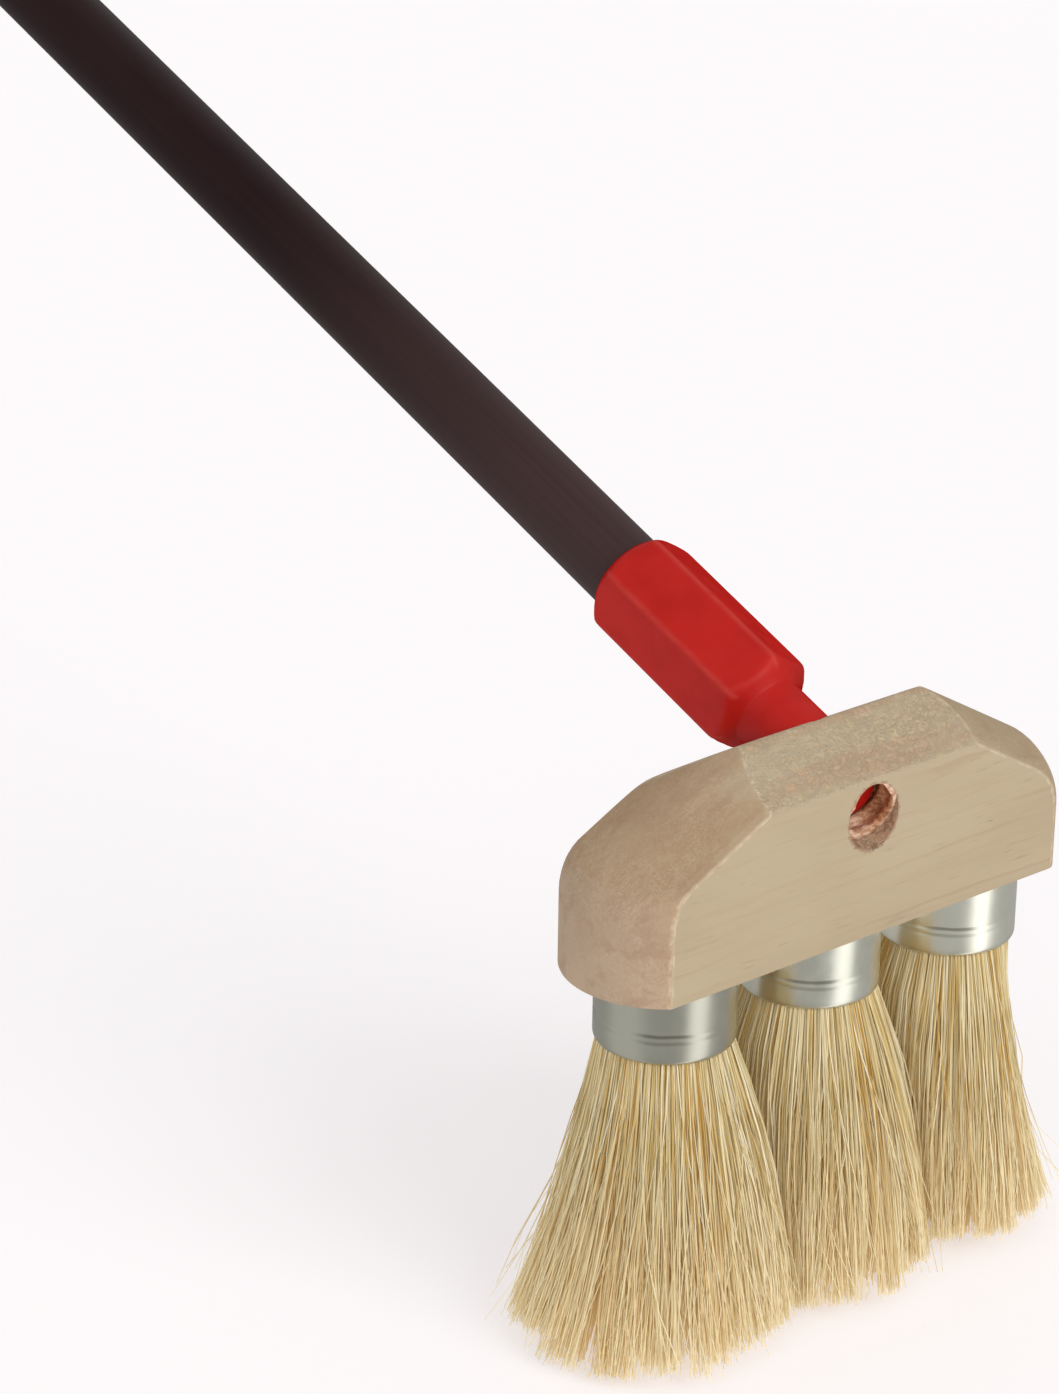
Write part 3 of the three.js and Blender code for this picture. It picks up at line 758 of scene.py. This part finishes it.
def knot_paths(side, random, count, steps, low_share, high_share):
    """Fibre centre lines from inside the ferrule to the tips, as an array of (fibre, step, xyz).
    The fibres fill the knot's radius from low_share to high_share."""
    golden = math.pi * (3 - math.sqrt(5))
    across_share, across_turn, drift_turn = 0.26, 0.26, 0.07
    stray_share, stray_reach, most_short = 0.05, 4 * MM, 8
    clump_short_by, fibre_short_by = 2.8, 1.8  # of the tips, in millimetres
    order = np.arange(count)
    filled = (order + 0.5) / count
    share_out = np.sqrt(low_share**2 + (high_share**2 - low_share**2) * filled)
    angle = order * golden + random.normal(0, 0.04, count)
    lying_across = random.uniform(size=count) < across_share
    drift = random.normal(0, drift_turn, count)
    drift += lying_across * random.normal(0, across_turn, count)
    tip_angle = angle + drift

    clump_order = np.arange(CLUMPS)
    clump_share = np.sqrt((clump_order + 0.5) / CLUMPS) * 1.03
    clump_angle = clump_order * golden + random.normal(0, 0.25, CLUMPS)
    reach = knot_reach_at(side, tip_angle)
    tip_share = share_out * (1 + random.normal(0, 0.025, count))
    tip = around(tip_angle, tip_share * reach)
    centre = around(clump_angle, clump_share * knot_reach_at(side, clump_angle))
    near = np.argmin(((tip[:, None] - centre[None]) ** 2).sum(2), 1)
    pull = random.uniform(0.05, 0.5, CLUMPS)[near] * random.uniform(0.5, 1.2, count)
    gather = (centre[near] - tip) * pull[:, None]
    stray = random.uniform(size=count) < stray_share
    gather[stray] = random.normal(0, stray_reach, (stray.sum(), 2))

    step_share = np.linspace(0, 1, steps + 1)[None]
    turn = angle[:, None] + drift[:, None] * step_share**1.3
    flare = knot_flare(side, turn, step_share)
    neck = (NECK_RADIUS * share_out)[:, None]
    out = neck + ((tip_share * reach)[:, None] - neck) * flare
    path = np.empty((count, steps + 1, 3))
    path[..., 0] = out * np.cos(turn) + gather[:, 0:1] * step_share**2
    path[..., 1] = out * np.sin(turn) + gather[:, 1:2] * step_share**2

    short = np.abs(random.normal(0, clump_short_by, CLUMPS))[near]
    short += np.abs(random.normal(0, fibre_short_by, count))
    short += stray * random.uniform(0, most_short, count)
    start_z = mouth_z + 2 * MM
    front = np.maximum(0, -np.sin(tip_angle))
    tip_z = 0.2 * MM + short * MM + TIP_RISE[side] * front * tip_share**2
    path[..., 2] = start_z + (tip_z - start_z)[:, None] * step_share

    size = random.uniform(0.4, 2.2, count) * (1 + 1.2 * stray) * MM
    phase = random.uniform(0, 2 * math.pi, count)[:, None]
    rate = random.uniform(3, 12, count)[:, None]
    wave = (np.sin(rate * step_share + phase) - np.sin(phase)) * size[:, None] * step_share
    sway = random.uniform(0, 2 * math.pi, count)[:, None]
    path[..., 0] += wave * np.cos(sway)
    path[..., 1] += wave * np.sin(sway)
    path[..., 0] = press(side, path[..., 0]) + knot_x[side]
    depth = np.clip((1 - share_out) / (1 - CORE_SHARE), 0, 1.5)
    tint = random.beta(2.6, 1.6, count) + random.normal(0, 0.07, CLUMPS)[near] + 0.2 * lying_across
    # painted shade: fibres deeper in the knot, seen only in the gaps, are painted darker
    tint -= 0.30 * depth
    return path, np.clip(tint, 0, 1)


def strands(paths, widths, tints):
    """Three-sided tapering strands along the paths: (points, faces, tint of each point)."""
    count, steps = paths.shape[:2]
    along = np.gradient(paths, axis=1)
    along /= np.linalg.norm(along, axis=2, keepdims=True)
    side = np.cross(along, np.array([0.0, 1.0, 0.0]))
    side /= np.linalg.norm(side, axis=2, keepdims=True)
    other = np.cross(along, side)
    taper = np.linspace(1, 0.45, steps) ** 0.7
    points = []
    twist = np.linspace(0, 1.3, steps)[None] + widths[:, None] * 37000
    size = (widths[:, None] / 2 * taper[None])[..., None]
    for corner in range(3):
        turn = (twist + corner * 2 * math.pi / 3)[..., None]
        points.append(paths + size * (np.cos(turn) * side + np.sin(turn) * other))
    points = np.stack(points, 2).reshape(-1, 3)
    base = (np.arange(count) * steps * 3)[:, None]
    quads = []
    for step in range(steps - 1):
        for corner in range(3):
            a, b = step * 3 + corner, step * 3 + (corner + 1) % 3
            quads.append(base + np.array([a, b, b + 3, a + 3])[None])
    quads = np.stack(quads, 1).reshape(-1, 4)
    last = (steps - 1) * 3
    caps = np.concatenate([base + np.array([[2, 1, 0]]), base + last + np.array([[0, 1, 2]])])
    return points, quads.tolist() + caps.tolist(), np.repeat(tints, steps * 3)


def knot_core(side):
    """Rings of the knot's packed middle, seen only between the fibres."""
    count, steps = 72, 12
    angle = np.linspace(0, 2 * math.pi, count, endpoint=False)
    start_z = mouth_z + 1.5 * MM
    rings = [np.array([[0, 0, start_z]])]
    for share in np.linspace(0, 1 - CORE_RISE / mouth_z, steps):
        neck = NECK_RADIUS * CORE_SHARE
        reach = knot_reach_at(side, angle) * CORE_SHARE
        radius = neck + (reach - neck) * knot_flare(side, angle, share)
        x = press(side, radius * np.cos(angle) * 1.02)
        height = np.full(count, start_z * (1 - share))
        rings.append(np.stack([x * 0.97, radius * np.sin(angle), height], 1))
    rings.append(np.array([[0, 0, CORE_RISE]]))
    points = np.concatenate(rings) + np.array([knot_x[side], 0, 0])
    faces = []
    last = len(points) - 1
    for i in range(count):
        j = (i + 1) % count
        faces.append((0, 1 + i, 1 + j))
        for ring in range(steps - 1):
            low = 1 + ring * count
            faces.append((low + j, low + i, low + count + i, low + count + j))
        faces.append((last, last - count + j, last - count + i))
    return points, faces


def build_knot(side, look, seed):
    random = np.random.default_rng(seed)
    points, faces, tints = [], [], []

    def join(more_points, more_faces, more_tints):
        start = sum(len(p) for p in points)
        points.append(more_points)
        faces.extend([[i + start for i in face] for face in more_faces])
        tints.append(more_tints)

    outer = (OUTER_FIBRES, OUTER_STEPS, CORE_SHARE - 0.02, 1.0)
    inner = (INNER_FIBRES, INNER_STEPS, 0.0, CORE_SHARE)
    for count, steps, low_share, high_share in (outer, inner):
        paths, tint = knot_paths(side, random, count, steps, low_share, high_share)
        widths = random.uniform(0.30, 0.52, count) * MM
        join(*strands(paths, widths, tint))
    core_points, core_faces = knot_core(side)
    # the core takes the ramp's darkest colour: painted shade between the fibres
    join(core_points, core_faces, np.zeros(len(core_points)))
    knot = make_mesh(f"fibre_knot_{side}", np.concatenate(points), faces, 80)
    write_attribute(knot, TINT_AND_SHADE, np.concatenate(tints))
    place_piece(knot, look, f"bristle_knot_{side}", None)
    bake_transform(knot)


# ---- the handle
def socket_radius(angle, limit):
    """The hexagon with softened corners, held inside a round limit."""
    corner_softness = 38
    facing = np.stack([np.maximum(0, np.cos(angle - math.pi / 3 * k)) for k in range(6)])
    hexagon = HEX_APOTHEM / (facing**corner_softness).sum(0) ** (1 / corner_softness)
    blend = 30
    return (hexagon**-blend + limit**-blend) ** (-1 / blend)


CORNER_HIGHLIGHT = "painted_corner_highlight"


def build_socket():
    sides = 144
    angle = np.linspace(0, 2 * math.pi, sides, endpoint=False)
    root = THREAD_RADIUS - THREAD_DEPTH / 2
    rings = [(STEM_TIP, 0), (STEM_TIP, root - 1.4 * MM), (STEM_TIP + 0.3 * MM, root - 0.7 * MM)]
    thread_start, thread_end = STEM_TIP + 1.2 * MM, COLLAR_FOOT - 0.2 * MM
    for height in np.arange(thread_start, thread_end, THREAD_PITCH / THREAD_ROWS):
        fade = min(1, (height - STEM_TIP) / THREAD_PITCH)
        rings.append((height, root + THREAD_DEPTH * fade * thread_wave(angle, height)))
    rings.append((COLLAR_FOOT, root))
    collar_edge = 0.9 * MM
    for turn in np.radians([0, 22, 45, 68, 90]):
        radius = COLLAR_RADIUS - collar_edge * (1 - math.sin(turn))
        rings.append((COLLAR_FOOT + collar_edge * (1 - math.cos(turn)), radius))
    for height in np.linspace(COLLAR_FOOT + 4 * MM, HEX_FOOT - 1 * MM, 4):
        rings.append((height, COLLAR_RADIUS))
    # round shoulder, hexagonal grip, round crown: the limit is the circle that holds the hexagon
    shoulder_length, crown_length, widest = 11 * MM, 9 * MM, 24 * MM
    shoulder_foot, crown_rim = 12.1 * MM, 14.3 * MM
    for share in np.linspace(0, 1, 10):
        limit = shoulder_foot + (widest - shoulder_foot) * share**0.75
        rings.append((HEX_FOOT + shoulder_length * share, socket_radius(angle, limit)))
    for share in (0.3, 0.45, 0.6):
        height = HEX_FOOT + share * (SOCKET_RIM - HEX_FOOT)
        rings.append((height, socket_radius(angle, widest + 2 * MM)))
    for share in np.linspace(1, 0, 10) ** 1.6:
        limit = crown_rim + (widest - crown_rim) * share
        rings.append((SOCKET_RIM - crown_length * share, socket_radius(angle, limit)))
    bore = TUBE_RADIUS + SLIP
    rings += [(SOCKET_RIM, bore + 0.25 * MM), (SOCKET_RIM - 0.4 * MM, bore)]
    rings += [(TUBE_SEAT, bore), (TUBE_SEAT, 0)]
    socket = loft("hex_socket", rings[::-1], sides, handle_frame, sharp_degrees=34)
    socket.data.flip_normals()
    # painted highlight: the six corners of the grip are painted lighter, where their rounding
    # catches the light
    points = np.array([handle_frame.inverted() @ vertex.co for vertex in socket.data.vertices])
    turn = np.arctan2(points[:, 1], points[:, 0]) / (math.pi / 3)
    off_corner = abs(turn - np.floor(turn) - 0.5)
    on_grip = (np.hypot(points[:, 0], points[:, 1]) > HEX_APOTHEM) & (points[:, 2] > HEX_FOOT)
    highlight_width = 0.045  # of the turn from one corner to the next
    corner_highlight = np.exp(-((off_corner / highlight_width) ** 2)) * on_grip
    write_attribute(socket, CORNER_HIGHLIGHT, corner_highlight)
    place_piece(socket, red_look(), "threaded_socket", "handle")


def red_look():
    look = Look("red_moulded_plastic")
    cloud = look.noise(60, 3.0)
    skin = look.noise(2600, 2.0)
    swell = look.noise(110, 2.0)
    rub = look.grain(300, 90, 300, 4.0, 0.65)
    cloud = look.between(cloud, 0.3, 0.7)
    colour = look.mix(cloud, (0.450, 0.0085, 0.0055), (0.520, 0.0130, 0.0085))
    colour = look.tint(colour, (look.between(rub, 0.62, 0.8), 0.2, (0.58, 0.05, 0.04)))
    # painted highlight on the grip's corners
    corner_highlight = look.add("ShaderNodeAttribute", attribute_name=CORNER_HIGHLIGHT).outputs["Fac"]
    corner_highlight = look.times(corner_highlight, look.between(rub, 0.3, 0.6, 0.25, 0.55))
    colour = look.mix(corner_highlight, colour, (0.60, 0.065, 0.050))
    look.set(Base_Color=colour, Roughness=look.between(rub, 0.3, 0.75, 0.38, 0.52))
    grazing = look.add("ShaderNodeLayerWeight", {"Blend": 0.5}).outputs["Facing"]
    look.set(Specular_IOR_Level=look.between(grazing, 0.25, 0.85, 0.19, 0.0))
    look.bump([(swell, 0.3, 0.6 * MM), (skin, 0.12, 0.03 * MM)])
    return look.material


def build_tube():
    bottom, top = TUBE_SEAT + SLIP, HANDLE_END - 5 * MM
    inner = TUBE_RADIUS - TUBE_WALL
    corners = [(TUBE_RADIUS, bottom + 0.3 * MM)]
    for share in np.linspace(0.02, 0.98, 40):
        corners.append((TUBE_RADIUS, bottom + (top - bottom) * share))
    corners += [(TUBE_RADIUS, top - 0.3 * MM), (TUBE_RADIUS - 0.3 * MM, top)]
    corners += [(inner, top), (inner, bottom), (TUBE_RADIUS - 0.3 * MM, bottom)]
    tube = lathe("handle_pole", corners, TUBE_SIDES, handle_frame, closed=True)
    place_piece(tube, tube_look(), "handle_tube", "handle")


def tube_look():
    look = Look("dark_pultruded_tube")
    # across is the place squared up to the handle, so that streaks run along the tube
    across = look.add("ShaderNodeMapping", {"Vector": look.place})
    across.inputs["Rotation"].default_value = (math.pi / 2 - handle_tilt, 0, 0)
    along = across.outputs["Vector"]
    streak = look.grain(900, 900, 7, 3.0, 0.6, source=along)
    cloud = look.grain(60, 60, 18, 3.0, 0.6, source=along)
    scuff = look.grain(420, 420, 150, 4.0, 0.7, 0.6, source=along)
    where = look.grain(30, 30, 22, 2.0, source=along)
    mark = look.times(look.between(scuff, 0.66, 0.78), look.between(where, 0.55, 0.68))
    shade = look.between(cloud, 0.3, 0.7)
    colour = look.mix(shade, (0.0125, 0.0030, 0.0045), (0.0185, 0.0058, 0.0072))
    streaked = look.between(streak, 0.45, 0.8)
    colour = look.tint(
        colour, (streaked, 0.2, (0.034, 0.013, 0.012)), (mark, 0.5, (0.16, 0.14, 0.13))
    )
    # painted sheen: the tube is painted lighter near the socket
    distance = look.vector("DISTANCE", look.place, hole_mouth)["Value"]
    painted_sheen = look.between(distance, 120 * MM, 330 * MM, 0.6, 0.0)
    painted_sheen = look.times(painted_sheen, look.between(streak, 0.3, 0.7, 0.85, 1.0))
    colour = look.mix(painted_sheen, colour, (0.080, 0.046, 0.045))
    look.set(Base_Color=colour, Roughness=look.between(cloud, 0.2, 0.8, 0.36, 0.50))
    look.set(Specular_IOR_Level=0.14)
    look.bump([(streak, 0.12, 0.04 * MM), (mark, 0.2, 0.1 * MM)])
    return look.material


def build_cap():
    length, wall, end_wall = 45 * MM, 1.6 * MM, 4 * MM
    inner = TUBE_RADIUS + SLIP
    outer, bead = inner + wall, inner + wall + 0.7 * MM
    skirt, end = HANDLE_END - length, HANDLE_END
    bead_top, body_start = skirt + 3 * MM, skirt + 4 * MM
    profile = [(inner, skirt), (bead, skirt), (bead, bead_top), (outer, body_start)]
    outside = rounded(profile, 0.8 * MM)
    outside += [(outer, skirt + share * length) for share in (0.3, 0.6, 0.8)]
    outside += rounded([(outer, body_start), (outer, end), (0, end)], 4 * MM, 8)[1:]
    ceiling = end - end_wall
    corners = outside[::-1] + [(inner, skirt + 0.5 * MM), (inner, ceiling), (0, ceiling)]
    cap = lathe("end_cap", corners, TUBE_SIDES, handle_frame)
    cap.data.flip_normals()
    place_piece(cap, vinyl_look(), "handle_end_cap", "handle")


def vinyl_look():
    look = Look("black_vinyl")
    cloud = look.noise(90, 3.0)
    grain = look.noise(1900, 3.0)
    look.set(Base_Color=look.mix(cloud, (0.010, 0.010, 0.010), (0.024, 0.023, 0.022)))
    look.set(Roughness=look.between(grain, 0.2, 0.8, 0.5, 0.7))
    look.bump([(grain, 0.3, 0.05 * MM)])
    return look.material


# ---- pieces that keep the frame's shape
def hidden_look(name, dark, light, scale, roughness, metallic=0.0):
    look = Look(name)
    cloud = look.noise(scale, 4.0)
    fine = look.noise(scale * 9, 2.0)
    look.set(Base_Color=look.mix(look.between(cloud, 0.3, 0.7), dark, light), Metallic=metallic)
    look.set(Roughness=look.between(cloud, 0.2, 0.8, roughness - 0.08, roughness + 0.08))
    look.bump([(fine, 0.2, 0.05 * MM)])
    return look.material


def dress_frame():
    zinc = hidden_look("zinc_plate", (0.55, 0.55, 0.50), (0.70, 0.70, 0.66), 260, 0.36, 1.0)
    resin = hidden_look("setting_resin", (0.055, 0.030, 0.014), (0.11, 0.062, 0.03), 120, 0.35)
    dowel = hidden_look("dowel_wood", (0.40, 0.27, 0.14), (0.54, 0.40, 0.23), 150, 0.65)
    looks = {"ferrule_screw": zinc, "ferrule_washer": zinc, "setting_resin": resin}
    looks["tube_plug"] = dowel
    for name, node in frame["nodes"].items():
        for start, material in looks.items():
            if name.startswith(start):
                node.data.materials.clear()
                node.data.materials.append(material)


# ---- stage, light and camera
CAMERA_PLACE = Vector((-0.81934, -0.84723, 0.68047))
CAMERA_AZIMUTH = 39.94
CAMERA_ELEVATION = 22.86
CAMERA_ROLL = 0.79
CAMERA_LENS = 113.54


def build_stage():
    reach = 12.0
    corners = [(-reach, -reach, 0), (reach, -reach, 0), (reach, reach, 0), (-reach, reach, 0)]
    floor = make_mesh("floor", corners, [(0, 1, 2, 3)])
    look = Look("pale_floor")
    mottle = look.noise(3.0, 2.0)
    look.set(Base_Color=look.mix(mottle, (0.54, 0.525, 0.53), (0.56, 0.545, 0.55)), Roughness=0.9)
    look.set(Specular_IOR_Level=0.0)
    look.set(Emission_Color=(0.99, 0.965, 0.985, 1.0), Emission_Strength=0.53)
    floor.data.materials.append(look.material)
    floor.visible_glossy = False


def build_world():
    world = bpy.data.worlds.new("studio")
    bpy.context.scene.world = world
    world.use_nodes = True
    tree = world.node_tree
    tree.nodes.clear()

    def add(kind, inputs=None, **settings):
        return add_node(tree, kind, inputs, **settings)

    def window(bearing, width, edge):
        """1 in a wedge of the level directions round one bearing, 0 outside it. In degrees."""
        place = add("ShaderNodeTexCoord").outputs["Generated"]
        level = add("ShaderNodeVectorMath", {0: place, 1: (1, 1, 0)}, operation="MULTIPLY")
        unit = add("ShaderNodeVectorMath", {0: level.outputs[0]}, operation="NORMALIZE")
        dot = add("ShaderNodeVectorMath", {0: unit.outputs[0], 1: bearing}, operation="DOT_PRODUCT")
        low, high = np.cos(np.radians([width / 2 + edge, width / 2]))
        inputs = {"Value": dot.outputs["Value"], "From Min": low, "From Max": high}
        return add("ShaderNodeMapRange", inputs, interpolation_type="SMOOTHSTEP").outputs["Result"]

    def scaled_sum(value, factor, rest):
        inputs = {0: value, 1: factor, 2: rest}
        return add("ShaderNodeMath", inputs, operation="MULTIPLY_ADD").outputs[0]

    def background(colour, strength):
        inputs = {"Color": (*colour, 1), "Strength": strength}
        return add("ShaderNodeBackground", inputs).outputs[0]

    def choose(share, a, b):
        return add("ShaderNodeMixShader", {0: share, 1: a, 2: b}).outputs[0]

    # what shiny pieces mirror: a mid grey room, a bright window strip and a weaker one
    room_grey, weak_window, bright_window = 0.38, 0.20, 1.0
    light = scaled_sum(window((-0.95, 0.31, 0), 40, 20), weak_window, room_grey)
    light = scaled_sum(window((0.26, -0.966, 0), 22, 9), bright_window, light)
    mirrored = background((1.0, 0.995, 0.96), light)
    ambient = background((1.0, 0.99, 0.98), 0.48)
    seen = background((0.982, 0.956, 0.965), 1.0)
    ray = add("ShaderNodeLightPath").outputs
    unseen = choose(ray["Is Glossy Ray"], ambient, mirrored)
    add("ShaderNodeOutputWorld", {"Surface": choose(ray["Is Camera Ray"], unseen, seen)})


def sun(name, strength, spread, direction, colour=(1, 1, 1)):
    data = bpy.data.lights.new(name, "SUN")
    data.energy = strength
    data.angle = math.radians(spread)
    data.color = colour
    lamp = bpy.data.objects.new(name, data)
    lamp.rotation_mode = "QUATERNION"
    lamp.rotation_quaternion = Vector(direction).to_track_quat("Z", "Y")
    bpy.context.scene.collection.objects.link(lamp)


def build_light():
    sun("key", 1.30, 40, (0.10, -0.85, 0.62), (1.0, 0.985, 0.96))
    sun("fill", 0.50, 60, (-0.9, -0.55, 0.7), (0.97, 0.985, 1.0))
    sun("back", 0.20, 60, (0.5, 0.9, 0.8))


def build_camera():
    azimuth, elevation, roll = map(math.radians, (CAMERA_AZIMUTH, CAMERA_ELEVATION, CAMERA_ROLL))
    level = Vector((math.cos(azimuth), -math.sin(azimuth), 0))
    ahead = Vector((math.sin(azimuth), math.cos(azimuth), 0))
    forward = ahead * math.cos(elevation) + Vector((0, 0, -math.sin(elevation)))
    upright = level.cross(forward)
    right = level * math.cos(roll) + upright * math.sin(roll)
    up = upright * math.cos(roll) - level * math.sin(roll)
    data = bpy.data.cameras.new("camera")
    data.lens, data.sensor_width = CAMERA_LENS, 36
    data.clip_start, data.clip_end = 0.05, 50
    camera = bpy.data.objects.new("camera", data)
    turn = Matrix((right, up, -forward)).transposed().to_4x4()
    camera.matrix_world = Matrix.Translation(CAMERA_PLACE) @ turn
    bpy.context.scene.collection.objects.link(camera)
    bpy.context.scene.camera = camera


# ---- build
build_block()
build_ferrules()
fibres = fibre_look()
for number, side in enumerate(SIDES):
    build_knot(side, fibres, 11 + number)
build_socket()
build_tube()
build_cap()
dress_frame()
build_stage()
build_world()
build_light()
build_camera()
bpy.context.scene.view_settings.view_transform = "Standard"
